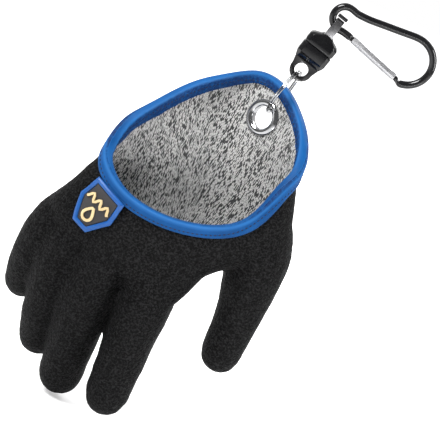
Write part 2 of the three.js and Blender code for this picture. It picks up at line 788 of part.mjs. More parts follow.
const roundedRing = (halfX, halfY, corner, z) =>
  [
    [halfX - corner, -halfY],
    [halfX, -halfY + corner],
    [halfX, halfY - corner],
    [halfX - corner, halfY],
    [-halfX + corner, halfY],
    [-halfX, halfY - corner],
    [-halfX, -halfY + corner],
    [-halfX + corner, -halfY],
  ].map(([x, y]) => vec(x, y, z));

function tabPlate(radius, bore, reach, halfWidth, thick) {
  const shape = new THREE.Shape();
  const lean = Math.asin(Math.min(0.9, (halfWidth - radius) / Math.hypot(reach, halfWidth)));
  shape.absarc(0, 0, radius, Math.PI - lean * 0.4, 2 * Math.PI + lean * 0.4, false);
  shape.lineTo(halfWidth, reach);
  shape.lineTo(-halfWidth, reach);
  shape.closePath();
  const hole = new THREE.Path();
  hole.absarc(0, 0, bore / 2, 0, 2 * Math.PI, true);
  shape.holes.push(hole);
  const geometry = new THREE.ExtrudeGeometry(shape, {
    depth: thick,
    bevelEnabled: false,
    curveSegments: 12,
  });
  // the shape's y becomes z, and its depth lies along y, centred
  return solidOf(geometry.translate(0, 0, -thick / 2).rotateX(Math.PI / 2));
}

const clipCorner = 2.4;
const sink = 0.4; // overlap of solids that are joined into one

function clipLower() {
  const half = clipWidth / 2;
  const deep = clipDepth / 2;
  const tab = tabPlate(tabRadius, tabBore, shoulder + sink, half - 0.6, tabThick);
  const top = lowerHalf - seat / 2;
  const body = loft([
    roundedRing(half - 1.2, tabThick / 2 + 0.5, 1, shoulder - 2.6),
    roundedRing(half - 0.2, deep - 1.4, clipCorner, shoulder),
    roundedRing(half, deep, clipCorner, shoulder + 1.6),
    roundedRing(half, deep, clipCorner, top - 0.7),
    roundedRing(half - 0.5, deep - 0.5, clipCorner - 0.3, top),
  ]);
  const notch = cylinder(vec(0, 0, 0), vec(0, 1, 0), tabBore / 2, clipDepth, 24);
  return tab.add(solidOf(body)).subtract(notch);
}

function clipUpper() {
  const half = clipWidth / 2;
  const deep = clipDepth / 2;
  const base = lowerHalf + seat / 2;
  const crown = lowerHalf + upperHalf;
  const body = loft([
    roundedRing(half - 0.5, deep - 0.5, clipCorner - 0.3, base),
    roundedRing(half, deep, clipCorner, base + 0.7),
    roundedRing(half, deep, clipCorner, crown - 1.4),
    roundedRing(half - 1.3, deep - 0.5, clipCorner, crown),
    roundedRing(bossWidth / 2 + 0.6, deep - 1, 1.6, crown + bossRise * 0.7),
    roundedRing(bossWidth / 2, deep - 1.6, 1.4, crown + bossRise),
  ]);
  const bore = cylinder(
    vec(0, 0, crown + bossRise),
    vec(0, 0, 1),
    shankWidth / 2 + seat,
    2 * (shankLength + seat),
    16,
  );
  return solidOf(body).subtract(bore);
}

// The strap: a loop over the carabiner's rod, on a shank that turns in the clip
const strapFoot = lowerHalf + upperHalf + bossRise + seat;
const strapTop = rodAt + 1.3; // where the legs end and the loop's bend starts

function strapLoop() {
  const inner = strapInside / 2;
  const outer = inner + strapThick;
  const bendSteps = 8;
  const arch = (r) =>
    Array.from({ length: bendSteps + 1 }, (_, i) => {
      const a = (i / bendSteps) * Math.PI;
      return new THREE.Vector2(r * Math.cos(a), strapTop + r * Math.sin(a));
    });
  const shape = new THREE.Shape([
    new THREE.Vector2(-outer, strapFoot),
    new THREE.Vector2(outer, strapFoot),
    ...arch(outer),
  ]);
  const window = new THREE.Path([
    new THREE.Vector2(-inner, strapFoot + strapThick),
    new THREE.Vector2(inner, strapFoot + strapThick),
    ...arch(inner),
  ]);
  shape.holes.push(window);
  const plate = new THREE.ExtrudeGeometry(shape, { depth: strapWidth, bevelEnabled: false });
  plate.translate(0, 0, -strapWidth / 2).rotateX(Math.PI / 2).rotateZ(Math.PI / 2);
  const shank = cylinder(
    vec(0, 0, strapFoot - (shankLength - sink) / 2),
    vec(0, 0, 1),
    shankWidth / 2,
    shankLength + sink,
    16,
  );
  return solidOf(plate).add(shank);
}

const barAt = strapTop + strapInside / 2 + strapThick + seat + barWidth / 2;

function strapBar() {
  return cylinder(vec(0, 0, barAt), vec(1, 0, 0), barWidth / 2, barLength, 12);
}

// The carabiner, in its own frame: the small bend's middle at the origin, the big bend along
// +X, the spine at +Z and the gate at -Z
const openSide = 10; // degrees between the gate and the carabiner's middle line
const gateTop = smallBend + 0.9; // the gate's pivot, below the middle line
const pivot = vec(13.2, 0, -gateTop);
const alongGate = vec(Math.cos(openSide * degrees), 0, -Math.sin(openSide * degrees));
const nose = pivot.clone().addScaledVector(alongGate, gateLength);
const gateEar = gateWidth / 2; // the gate's metal past its pivot
const earClear = 1.6;
const noseClear = 0.7;
const bigMiddle = vec(bendSpacing, 0, -1);

function rodPath() {
  const points = [];
  const arc = (centre, radius, from, to, count) => {
    for (let i = 0; i <= count; i += 1) {
      const a = mix(from, to, i / count) * degrees;
      points.push(centre.clone().add(vec(radius * Math.cos(a), 0, radius * Math.sin(a))));
    }
  };
  points.push(pivot.clone().addScaledVector(alongGate, -gateEar - earClear));
  arc(vec(0, 0, 0), smallBend, -68, -300, 13);
  points.push(vec(smallBend + 0.9, 0, smallBend - 0.6));
  const spineStart = vec(smallBend + 4.4, 0, smallBend - 0.3);
  const topTurn = -8 * degrees;
  const bendTop = vec(bigBend * Math.sin(topTurn), 0, bigBend * Math.cos(topTurn)).add(bigMiddle);
  for (const t of [0, 0.33, 0.67]) points.push(spineStart.clone().lerp(bendTop, t));
  arc(bigMiddle, bigBend, 98, -88, 12);
  points.push(nose.clone().addScaledVector(alongGate, noseClear + 2));
  return points;
}

function sweptRod(points, radius, sides) {
  const shape = new THREE.Shape();
  for (let k = 0; k < sides; k += 1) {
    const a = ((k + 0.5) * 2 * Math.PI) / sides;
    if (k === 0) shape.moveTo(radius * Math.cos(a), radius * Math.sin(a));
    else shape.lineTo(radius * Math.cos(a), radius * Math.sin(a));
  }
  shape.closePath();
  const curve = new THREE.CatmullRomCurve3(points, false, "centripetal");
  return new THREE.ExtrudeGeometry(shape, { steps: 40, bevelEnabled: false, extrudePath: curve });
}

// A flat tongue along the gate's line, thinner than the gate's slot
function tongue(from, to, high) {
  const l = to - from;
  const plate = new THREE.BoxGeometry(l, tongueThick, high);
  plate.translate((from + to) / 2, 0, 0).rotateY(openSide * degrees);
  return solidOf(plate.translate(pivot.x, pivot.y, pivot.z));
}

const tongueHigh = gateWidth * 0.72;

function carabinerBody() {
  const rod = solidOf(sweptRod(rodPath(), rodWidth / 2, 8));
  const clearBox = (from, to) => {
    const cut = new THREE.BoxGeometry(to - from, rodWidth * 2, rodWidth * 1.6);
    cut.translate((from + to) / 2, 0, 0).rotateY(openSide * degrees);
    return solidOf(cut.translate(pivot.x, pivot.y, pivot.z));
  };
  const gateRoom = clearBox(-gateEar - earClear, gateLength + noseClear);
  const hinge = tongue(-gateEar - earClear - 2, 0, tongueHigh).add(
    cylinder(pivot, vec(0, 1, 0), tongueHigh / 2, tongueThick, 16),
  );
  const latch = tongue(gateLength - 2.6, gateLength + noseClear + 2, tongueHigh);
  const bore = cylinder(pivot, vec(0, 1, 0), rivetWidth / 2 + seat, rodWidth, 16);
  return rod.subtract(gateRoom).add(hinge).add(latch).subtract(bore);
}

function gateBody() {
  const sides = 12;
  const slotWide = tongueThick + 2 * seat;
  const middle = vec(gateLength / 2, 0, 0);
  const bar = cylinder(middle, vec(1, 0, 0), gateWidth / 2, gateLength + gateEar * 2, sides);
  const trim = block(vec(gateEar, gateWidth * 2, gateWidth * 2), vec(gateLength + gateEar / 2, 0, 0));
  const hingeSlot = block(vec(gateEar + 4.6, slotWide, gateWidth * 2), vec((4.6 - gateEar) / 2, 0, 0));
  const latchSlot = block(vec(4, slotWide, gateWidth * 2), vec(gateLength - 1.6, 0, 0));
  const rivet = cylinder(vec(0, 0, 0), vec(0, 1, 0), rivetWidth / 2, gateWidth + 0.8, 12);
  return bar.subtract(trim).subtract(hingeSlot).subtract(latchSlot).add(rivet);
}

// Materials

const finish = (color, roughness, metalness = 0) =>
  new THREE.MeshStandardMaterial({ color, roughness, metalness });
const latex = finish(0x17181a, 0.75);
const knit = finish(0x9a9b9c, 0.95);
const blueTape = finish(0x1f66c4, 0.5);
const charcoal = finish(0x3a3a3c, 0.7);
const cream = finish(0xf0dca8, 0.5);
const chrome = finish(0xd8dadc, 0.15, 1);
const blackPlastic = finish(0x0d0d0e, 0.3);
const blackMetal = finish(0x121214, 0.3, 0.8);
const silver = finish(0xdfe1e3, 0.3, 1);
const steel = finish(0xa9abad, 0.35, 1);
const darkSteel = finish(0x3c3d40, 0.4, 0.9);

// The assembly

const glove = new THREE.Group();

function addPiece(parent, name, geometry, material) {
  const mesh = new THREE.Mesh(geometry, material);
  mesh.name = name;
  parent.add(mesh);
  return mesh;
}

addPiece(glove, "glove_shell", geometryOf(coatedShell()), latex);
addPiece(glove, "knit_liner", geometryOf(knitLiner()), knit);
addPiece(glove, "edge_binding", geometryOf(boundTape()), blueTape);
addPiece(glove, "badge_frame", geometryOf(badgeRing()), blueTape);
addPiece(glove, "badge_plate", geometryOf(badgePlate()), charcoal);
addPiece(glove, "badge_wave", geometryOf(badgeWave()), cream);
addPiece(glove, "badge_drop", geometryOf(badgeDrop()), cream);
addPiece(glove, "eyelet", geometryOf(eyeletBody()), chrome);
addPiece(glove, "split_ring", geometryOf(splitRing()), chrome);

const clip = new THREE.Group();
clip.position.copy(tabHole);
clip.rotation.y = clipLean * degrees;
glove.add(clip);
addPiece(clip, "clip_lower", geometryOf(clipLower()), blackPlastic);
addPiece(clip, "clip_upper", geometryOf(clipUpper()), blackPlastic);

// Everything that turns about the clip's axis
const swivel = new THREE.Group();
clip.add(swivel);
addPiece(swivel, "strap_loop", geometryOf(strapLoop()), steel);
addPiece(swivel, "strap_bar", geometryOf(strapBar()), darkSteel);

// The carabiner's rod passes through the strap
const carabiner = new THREE.Group();
const carabinerTurn = (carabinerDroop - clipLean) * degrees;
const rodPoint = vec(Math.cos(strapOn * degrees), 0, Math.sin(strapOn * degrees))
  .multiplyScalar(smallBend)
  .applyAxisAngle(vec(0, 1, 0), carabinerTurn);
carabiner.position.set(0, 0, rodAt).sub(rodPoint);
carabiner.rotation.y = carabinerTurn;
swivel.add(carabiner);
addPiece(carabiner, "carabiner_body", geometryOf(carabinerBody()), blackMetal);
const gate = addPiece(carabiner, "carabiner_gate", geometryOf(gateBody()), silver);
gate.position.copy(pivot);
gate.rotation.y = openSide * degrees;

export default glove;
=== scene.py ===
import math

import bpy
from mathutils import Matrix, Vector, kdtree
from mathutils.bvhtree import BVHTree


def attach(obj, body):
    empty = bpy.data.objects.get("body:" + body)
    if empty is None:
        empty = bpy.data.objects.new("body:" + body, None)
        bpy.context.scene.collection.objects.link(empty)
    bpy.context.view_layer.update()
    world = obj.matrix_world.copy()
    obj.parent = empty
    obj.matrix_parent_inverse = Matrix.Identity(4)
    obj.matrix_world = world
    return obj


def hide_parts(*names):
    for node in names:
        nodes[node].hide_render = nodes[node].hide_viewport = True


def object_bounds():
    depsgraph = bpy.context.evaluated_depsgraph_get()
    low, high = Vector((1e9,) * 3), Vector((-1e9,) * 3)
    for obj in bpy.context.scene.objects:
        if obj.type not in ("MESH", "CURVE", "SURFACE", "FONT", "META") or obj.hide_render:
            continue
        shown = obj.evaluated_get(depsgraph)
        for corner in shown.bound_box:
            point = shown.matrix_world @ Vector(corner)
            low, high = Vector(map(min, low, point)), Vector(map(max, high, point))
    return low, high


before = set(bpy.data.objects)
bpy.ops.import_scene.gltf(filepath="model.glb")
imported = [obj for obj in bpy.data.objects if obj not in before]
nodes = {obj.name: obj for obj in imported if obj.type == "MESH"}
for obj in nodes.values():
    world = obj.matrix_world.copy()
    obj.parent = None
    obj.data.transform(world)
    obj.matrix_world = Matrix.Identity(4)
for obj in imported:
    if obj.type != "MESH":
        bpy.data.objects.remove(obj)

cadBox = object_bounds()
collection = bpy.context.scene.collection
print("frame loaded")

# camera
photoView = {
    "tilt": 12.0,  # degrees above the glove
    "roll": 25.0,
    "aim": (0.02535, -0.00727, -0.0342),
    "from": (0.0, -1.0760, 0.2287),
    "lens": 150.0,
}


def makeCamera():
    tilt, roll = math.radians(photoView["tilt"]), math.radians(photoView["roll"])
    across, lift = Vector((1, 0, 0)), Vector((0, math.sin(tilt), math.cos(tilt)))
    place = Vector(photoView["from"])
    back = (place - Vector(photoView["aim"])).normalized()
    right = across * math.cos(roll) + lift * math.sin(roll)
    right = (right - back * right.dot(back)).normalized()
    data = bpy.data.cameras.new("photoCamera")
    data.lens = photoView["lens"]
    data.sensor_width = 36
    data.clip_end = 10
    camera = bpy.data.objects.new("photoCamera", data)
    collection.objects.link(camera)
    turn = Matrix((right, back.cross(right), back)).transposed().to_4x4()
    camera.matrix_world = Matrix.Translation(place) @ turn
    bpy.context.scene.camera = camera


makeCamera()
print("camera placed")


# small helpers
def pick(piece):
    bpy.ops.object.select_all(action="DESELECT")
    piece.select_set(True)
    bpy.context.view_layer.objects.active = piece


# a CAD node's shape as a mesh that can be worked on, its triangles joined to quads
def copyOf(node, name, flat=12, shape=80, regular=0.0):
    piece = bpy.data.objects.new(name, nodes[node].data.copy())
    collection.objects.link(piece)
    piece.data.materials.clear()
    pick(piece)
    if piece.data.has_custom_normals:
        bpy.ops.mesh.customdata_custom_splitnormals_clear()
    bpy.ops.object.mode_set(mode="EDIT")
    bpy.ops.mesh.select_all(action="SELECT")
    bpy.ops.mesh.remove_doubles(threshold=0.00001)
    bpy.ops.mesh.tris_convert_to_quads(
        face_threshold=math.radians(flat),
        shape_threshold=math.radians(shape),
        topology_influence=regular,
    )
    bpy.ops.object.mode_set(mode="OBJECT")
    return piece


def addStep(piece, kind, **values):
    step = piece.modifiers.new(kind.lower(), kind)
    for key, value in values.items():
        setattr(step, key, value)
    return step


def applySteps(piece):
    pick(piece)
    for step in list(piece.modifiers):
        bpy.ops.object.modifier_apply(modifier=step.name)


def chooseFaces(piece, test):
    pick(piece)
    bpy.ops.object.mode_set(mode="EDIT")
    bpy.ops.mesh.select_mode(type="FACE")
    bpy.ops.mesh.select_all(action="DESELECT")
    bpy.ops.object.mode_set(mode="OBJECT")
    for face in piece.data.polygons:
        face.select = bool(test(face.center, face.normal))
    bpy.ops.object.mode_set(mode="EDIT")


def openEdges(piece):
    seen = {}
    for face in piece.data.polygons:
        for key in face.edge_keys:
            seen[key] = seen.get(key, 0) + 1
    return {key for key, count in seen.items() if count == 1}


def chooseEdges(piece, keys):
    pick(piece)
    bpy.ops.object.mode_set(mode="EDIT")
    bpy.ops.mesh.select_mode(type="EDGE")
    bpy.ops.mesh.select_all(action="DESELECT")
    bpy.ops.object.mode_set(mode="OBJECT")
    for edge in piece.data.edges:
        edge.select = edge.key in keys
    bpy.ops.object.mode_set(mode="EDIT")


def smoothBy(piece, degrees):
    pick(piece)
    bpy.ops.object.shade_smooth_by_angle(angle=math.radians(degrees))


def dress(piece, finish, body, slot, *stoodFor):
    piece.data.materials.clear()
    piece.data.materials.append(finish)
    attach(piece, body)
    if stoodFor:
        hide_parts(*stoodFor)
    return piece


def cloudTexture(name, size, depth):
    texture = bpy.data.textures.new(name, "CLOUDS")
    texture.noise_scale = size
    texture.noise_depth = depth
    return texture


def softened(node, name, levels, finish, body, slot):  # a sweep, made rounder
    piece = copyOf(node, name, 180, 180, 2.0)
    addStep(piece, "SUBSURF", levels=levels, render_levels=levels)
    applySteps(piece)
    smoothBy(piece, 70)
    return dress(piece, finish, body, slot, node)


def bevelled(node, name, width, finish, body, slot, limit=28, flat=5, smooth=40):
    piece = copyOf(node, name, flat)
    addStep(piece, "BEVEL", width=width, segments=3, limit_method="ANGLE",
            angle_limit=math.radians(limit))
    applySteps(piece)
    smoothBy(piece, smooth)
    return dress(piece, finish, body, slot, node)


# shader groups
def newGroup(name, inputs, outputs):
    group = bpy.data.node_groups.new(name, "ShaderNodeTree")
    for label, kind, start in inputs:
        socket = group.interface.new_socket(name=label, in_out="INPUT", socket_type=kind)
        if start is not None:
            socket.default_value = start
    for label, kind in outputs:
        group.interface.new_socket(name=label, in_out="OUTPUT", socket_type=kind)
    return group, group.nodes.new("NodeGroupInput"), group.nodes.new("NodeGroupOutput")


def feed(tree, value, socket):  # by a link, or as a fixed value
    if isinstance(value, bpy.types.NodeSocket):
        tree.links.new(value, socket)
    else:
        socket.default_value = value


def put(tree, kind, settings=None, **values):  # n0, n1 and so on are sockets by number
    node = tree.nodes.new(kind)
    for key, value in (settings or {}).items():
        setattr(node, key, value)
    for key, value in values.items():
        numbered = key[0] == "n" and key[1:].isdigit()
        feed(tree, value, node.inputs[int(key[1:]) if numbered else key.replace("_", " ")])
    return node


def sums(tree, operation, first, second=0.0):
    return put(tree, "ShaderNodeMath", {"operation": operation}, n0=first, n1=second).outputs[0]


def remap(tree, value, low, high, first=0.0, last=1.0):  # low to high becomes first to last
    return put(tree, "ShaderNodeMapRange", n0=value, n1=low, n2=high, n3=first, n4=last).outputs[0]


def ramp(tree, value, stops):
    node = put(tree, "ShaderNodeValToRGB", n0=value)
    while len(node.color_ramp.elements) < len(stops):
        node.color_ramp.elements.new(1.0)
    for element, (at, colour) in zip(node.color_ramp.elements, stops):
        element.position = at
        element.color = (*colour, 1)
    return node.outputs["Color"]


def blendColours(tree, share, first, second):
    node = tree.nodes.new("ShaderNodeMix")
    node.data_type = "RGBA"
    for at, value in ((0, share), (6, first), (7, second)):
        feed(tree, value, node.inputs[at])
    return node.outputs[2]


def makeGrainGroup():  # small pitted grain, as on foamed latex, rubber and moulded plastic
    group, given, out = newGroup(
        "smallGrain",
        [("Vector", "NodeSocketVector", None), ("Size", "NodeSocketFloat", 900.0),
         ("Pits", "NodeSocketFloat", 0.5)],
        [("Height", "NodeSocketFloat"), ("Hollow", "NodeSocketFloat")],
    )
    at, size = given.outputs["Vector"], given.outputs["Size"]
    coarse = put(group, "ShaderNodeTexNoise", Vector=at, Scale=size,
                 Detail=4.0, Roughness=0.62, Distortion=0.6)
    cells = put(group, "ShaderNodeTexVoronoi", {"feature": "SMOOTH_F1"}, Vector=at,
                Scale=sums(group, "MULTIPLY", size, 0.8), Smoothness=0.6)
    ridges = sums(group, "ABSOLUTE", sums(group, "SUBTRACT", coarse.outputs[0], 0.5))
    pits = sums(group, "MULTIPLY", cells.outputs["Distance"], given.outputs["Pits"])
    height = sums(group, "ADD", sums(group, "MULTIPLY", ridges, 3.2), pits)
    group.links.new(height, out.inputs["Height"])
    group.links.new(sums(group, "SUBTRACT", 1.0, height), out.inputs["Hollow"])
    return group


def makeDriftGroup():  # slow change of shade over a surface
    group, given, out = newGroup(
        "slowDrift",
        [("Vector", "NodeSocketVector", None), ("Size", "NodeSocketFloat", 40.0),
         ("Light", "NodeSocketColor", (1, 1, 1, 1)), ("Dark", "NodeSocketColor", (0, 0, 0, 1))],
        [("Colour", "NodeSocketColor"), ("Shade", "NodeSocketFloat")],
    )
    cloud = put(group, "ShaderNodeTexNoise", Vector=given.outputs["Vector"],
                Scale=given.outputs["Size"], Detail=3.0, Roughness=0.55)
    shade = remap(group, cloud.outputs[0], 0.3, 0.7)
    colour = blendColours(group, shade, given.outputs["Dark"], given.outputs["Light"])
    group.links.new(colour, out.inputs["Colour"])
    group.links.new(shade, out.inputs["Shade"])
    return group


def makeBrushGroup():  # long fine scratches along one axis of the vector
    group, given, out = newGroup(
        "fineScratches",
        [("Vector", "NodeSocketVector", None), ("Size", "NodeSocketFloat", 300.0),
         ("Stretch", "NodeSocketVector", (1, 1, 0.05))],
        [("Height", "NodeSocketFloat"), ("Wear", "NodeSocketFloat")],
    )
    at = given.outputs["Vector"]
    stretched = put(group, "ShaderNodeVectorMath", {"operation": "MULTIPLY"},
                    n0=at, n1=given.outputs["Stretch"])
    fine = put(group, "ShaderNodeTexNoise", Vector=stretched.outputs[0],
               Scale=given.outputs["Size"], Detail=5.0, Roughness=0.7)
    broad = put(group, "ShaderNodeTexNoise", Vector=at, Scale=110.0, Detail=3.0)
    group.links.new(fine.outputs[0], out.inputs["Height"])
    group.links.new(remap(group, broad.outputs[0], 0.35, 0.65), out.inputs["Wear"])
    return group


def makeKnitGroup():  # one unit of u is a column of stitches, one of v a row
    group, given, out = newGroup(
        "flatKnit",
        [("Vector", "NodeSocketVector", None), ("Slant", "NodeSocketFloat", 0.55)],
        [("Height", "NodeSocketFloat"), ("Yarn", "NodeSocketFloat")],
    )
    split = put(group, "ShaderNodeSeparateXYZ", n0=given.outputs["Vector"])
    legs = sums(group, "MULTIPLY", split.outputs[0], 2.0)  # two legs to a stitch
    leg = sums(group, "FLOOR", legs)
    across = sums(group, "SUBTRACT", legs, leg)
    turned = sums(group, "FLOORED_MODULO", leg, 2.0)  # every second leg slants the other way
    back = sums(group, "SUBTRACT", 1.0, sums(group, "MULTIPLY", across, 2.0))
    rise = sums(group, "ADD", across, sums(group, "MULTIPLY", turned, back))
    slanted = sums(group, "MULTIPLY", rise, given.outputs["Slant"])
    rows = sums(group, "ADD", split.outputs[1], slanted)
    start = put(group, "ShaderNodeTexWhiteNoise", {"noise_dimensions": "1D"}, W=leg).outputs[0]
    rows = sums(group, "ADD", rows, sums(group, "MULTIPLY", start, 0.8))
    row = sums(group, "FLOOR", rows)
    along = sums(group, "SUBTRACT", rows, row)
    roundSide = sums(group, "SINE", sums(group, "MULTIPLY", across, math.pi))
    roundEnd = sums(group, "SINE", sums(group, "MULTIPLY", along, math.pi))
    roundEnd = sums(group, "POWER", roundEnd, 0.45)
    cell = put(group, "ShaderNodeCombineXYZ", n0=leg, n1=row)
    chance = put(group, "ShaderNodeTexWhiteNoise", {"noise_dimensions": "2D"},
                 Vector=cell.outputs[0])
    stretched = put(group, "ShaderNodeVectorMath", {"operation": "MULTIPLY"},
                    n0=given.outputs["Vector"], n1=(1.5, 0.75, 1.0))
    fibre = put(group, "ShaderNodeTexNoise", {"noise_dimensions": "2D"},
                Vector=stretched.outputs[0], Scale=1.0, Detail=3.0, Roughness=0.7)
    yarn = sums(group, "ADD", sums(group, "MULTIPLY", chance.outputs[0], 0.8),
                sums(group, "MULTIPLY", fibre.outputs[0], 0.55))
    group.links.new(sums(group, "MULTIPLY", roundSide, roundEnd), out.inputs["Height"])
    group.links.new(sums(group, "SUBTRACT", yarn, 0.22), out.inputs["Yarn"])
    return group


grainGroup, driftGroup = makeGrainGroup(), makeDriftGroup()
brushGroup, knitGroup = makeBrushGroup(), makeKnitGroup()


def useGroup(tree, group, **values):
    node = tree.nodes.new("ShaderNodeGroup")
    node.node_tree = group
    for key, value in values.items():
        feed(tree, value, node.inputs[key])
    return node


def newFinish(name, **sockets):
    finish = bpy.data.materials.new(name)
    finish.use_nodes = True
    tree = finish.node_tree
    shader = tree.nodes["Principled BSDF"]
    for key, value in sockets.items():
        shader.inputs[key.replace("_", " ")].default_value = value
    return finish, tree, shader


def bump(tree, shader, height, depth):
    node = put(tree, "ShaderNodeBump", Height=height, Strength=1.0, Distance=depth)
    tree.links.new(node.outputs[0], shader.inputs["Normal"])


def objectPoint(tree):
    return put(tree, "ShaderNodeTexCoord").outputs["Object"]


print("shader groups built")


# finishes
latexLook = {
    "specular": 0.10,
    "rough": (0.42, 0.7),  # on the grain and in its hollows
    "light": (0.0030, 0.0030, 0.0033, 1),
    "dark": (0.0008, 0.0008, 0.0010, 1),
    "tips": (0.024, 0.024, 0.025, 1),  # painted highlights on the small beads' tops
    "driftSize": 38.0,
    "grainSize": 900.0,
    "beadSize": 850.0,
    "mottleSize": 270.0,
    "depth": 0.0018,
}


def latexFinish():
    finish, tree, shader = newFinish("crinkleLatex", Roughness=0.6,
                                     Specular_IOR_Level=latexLook["specular"])
    at = objectPoint(tree)
    grain = useGroup(tree, grainGroup, Vector=at, Size=latexLook["grainSize"], Pits=0.55)
    drift = useGroup(tree, driftGroup, Vector=at, Size=latexLook["driftSize"],
                     Light=latexLook["light"], Dark=latexLook["dark"])
    beads = put(tree, "ShaderNodeTexNoise", Vector=at, Scale=latexLook["beadSize"],
                Detail=2.0, Roughness=0.5, Distortion=0.5).outputs[0]
    # paler bead tops: painted highlights standing in for the glints on the raised grain
    tips = remap(tree, beads, 0.45, 0.62)
    colour = blendColours(tree, tips, drift.outputs["Colour"], latexLook["tips"])
    tree.links.new(colour, shader.inputs["Base Color"])
    rough = remap(tree, grain.outputs["Hollow"], 0.0, 1.0, *latexLook["rough"])
    tree.links.new(rough, shader.inputs["Roughness"])
    mottle = put(tree, "ShaderNodeTexNoise", Vector=at, Scale=latexLook["mottleSize"],
                 Detail=2.0, Roughness=0.5, Distortion=0.8).outputs[0]
    height = sums(tree, "ADD", sums(tree, "MULTIPLY", grain.outputs["Height"], 0.5),
                  sums(tree, "MULTIPLY", mottle, 2.4))
    height = sums(tree, "ADD", height, sums(tree, "MULTIPLY", beads, 1.6))
    bump(tree, shader, height, latexLook["depth"])
    return finish


knitLook = {
    "slant": 0.55,
    "flecks": [  # from the dark yarn to the pale
        (0.26, (0.003, 0.003, 0.004)),
        (0.36, (0.02, 0.02, 0.02)),
        (0.40, (0.70, 0.695, 0.68)),
        (0.50, (0.98, 0.97, 0.95)),
    ],
    "gap": (0.06, 0.06, 0.06, 1),  # painted shade in the hollows between stitches
    "driftSize": 55.0,
    "depth": 0.00030,
}


def knitFinish():
    finish, tree, shader = newFinish("fleckedKnit", Roughness=0.9, Sheen_Weight=0.25,
                                     Sheen_Roughness=0.6)
    at = put(tree, "ShaderNodeUVMap", {"uv_map": "cloth"}).outputs[0]
    knit = useGroup(tree, knitGroup, Vector=at, Slant=knitLook["slant"])
    drift = useGroup(tree, driftGroup, Vector=objectPoint(tree), Size=knitLook["driftSize"])
    yarn = sums(tree, "ADD", knit.outputs["Yarn"],
                sums(tree, "MULTIPLY", drift.outputs["Shade"], 0.07))
    # darker where the stitches' height falls off: painted shade between them
    shade = remap(tree, knit.outputs["Height"], 0.1, 0.7)
    colour = blendColours(tree, shade, knitLook["gap"], ramp(tree, yarn, knitLook["flecks"]))
    tree.links.new(colour, shader.inputs["Base Color"])
    bump(tree, shader, knit.outputs["Height"], knitLook["depth"])
    return finish


tapeLook = {
    "specular": 0.16,
    "light": (0.005, 0.088, 0.30, 1),
    "dark": (0.003, 0.058, 0.21, 1),
    "fold": (0.026, 0.21, 0.60, 1),  # painted highlight: a paler band along the fold
    "creaseShade": (0.003, 0.025, 0.11, 1),  # painted shade in the creases of the inner side
    "depth": 0.0004,
}


def tapeFinish():
    finish, tree, shader = newFinish("blueTape", Roughness=0.42,
                                     Specular_IOR_Level=tapeLook["specular"])
    at = put(tree, "ShaderNodeUVMap", {"uv_map": "cloth"}).outputs[0]
    down = put(tree, "ShaderNodeSeparateXYZ", n0=at).outputs[1]  # mm from the fold
    drift = useGroup(tree, driftGroup, Vector=objectPoint(tree), Size=70.0,
                     Light=tapeLook["light"], Dark=tapeLook["dark"])
    weave = put(tree, "ShaderNodeTexWave", {"wave_type": "BANDS", "bands_direction": "DIAGONAL"},
                Vector=at, Scale=1.5, Distortion=0.4, Detail=1.0).outputs[1]
    creases = put(tree, "ShaderNodeTexNoise", Vector=at, Scale=0.55,
                  Detail=4.0, Roughness=0.65, Distortion=0.7).outputs[0]
    # a paler band along the fold: painted highlight
    fold = remap(tree, sums(tree, "ABSOLUTE", down), 0.2, 2.4, 1.0, 0.0)
    inner = remap(tree, down, -2.2, -0.4, 1.0, 0.0)
    # darker in the low parts of the creases on the inner side: painted shade
    dark = remap(tree, creases, 0.46, 0.64, 1.0, 0.0)
    colour = blendColours(tree, sums(tree, "MULTIPLY", fold, 0.45),
                          drift.outputs["Colour"], tapeLook["fold"])
    share = sums(tree, "MULTIPLY", dark, sums(tree, "MULTIPLY", inner, 0.9))
    colour = blendColours(tree, share, colour, tapeLook["creaseShade"])
    tree.links.new(colour, shader.inputs["Base Color"])
    height = sums(tree, "ADD", sums(tree, "MULTIPLY", weave, 0.12),
                  sums(tree, "MULTIPLY", creases, sums(tree, "ADD", 0.08, inner)))
    bump(tree, shader, height, tapeLook["depth"])
    return finish


threadLook = {
    "light": (0.003, 0.020, 0.08, 1),
    "dark": (0.001, 0.008, 0.035, 1),
    "depth": 0.00008,
}


def threadFinish():
    finish, tree, shader = newFinish("darkThread", Roughness=0.7)
    at = objectPoint(tree)
    drift = useGroup(tree, driftGroup, Vector=at, Size=600.0,
                     Light=threadLook["light"], Dark=threadLook["dark"])
    tree.links.new(drift.outputs["Colour"], shader.inputs["Base Color"])
    twist = put(tree, "ShaderNodeTexWave", {"bands_direction": "DIAGONAL"}, Vector=at, Scale=900.0)
    bump(tree, shader, twist.outputs[1], threadLook["depth"])
    return finish


def mouldedFinish(name, light, dark, roughness, grainSize, depth, pits=0.35):
    finish, tree, shader = newFinish(name, Roughness=roughness)
    at = objectPoint(tree)
    drift = useGroup(tree, driftGroup, Vector=at, Size=120.0, Light=(*light, 1), Dark=(*dark, 1))
    grain = useGroup(tree, grainGroup, Vector=at, Size=grainSize, Pits=pits)
    # the grain's hollows a little darker: painted shade
    hollow = sums(tree, "MULTIPLY", grain.outputs["Hollow"], 0.12)
    hollowShade = (*[shade * 0.4 for shade in dark], 1)
    colour = blendColours(tree, hollow, drift.outputs["Colour"], hollowShade)
    tree.links.new(colour, shader.inputs["Base Color"])
    rough = remap(tree, drift.outputs["Shade"], 0.0, 1.0, roughness * 0.85, roughness * 1.2)
    tree.links.new(rough, shader.inputs["Roughness"])
    bump(tree, shader, grain.outputs["Height"], depth)
    return finish


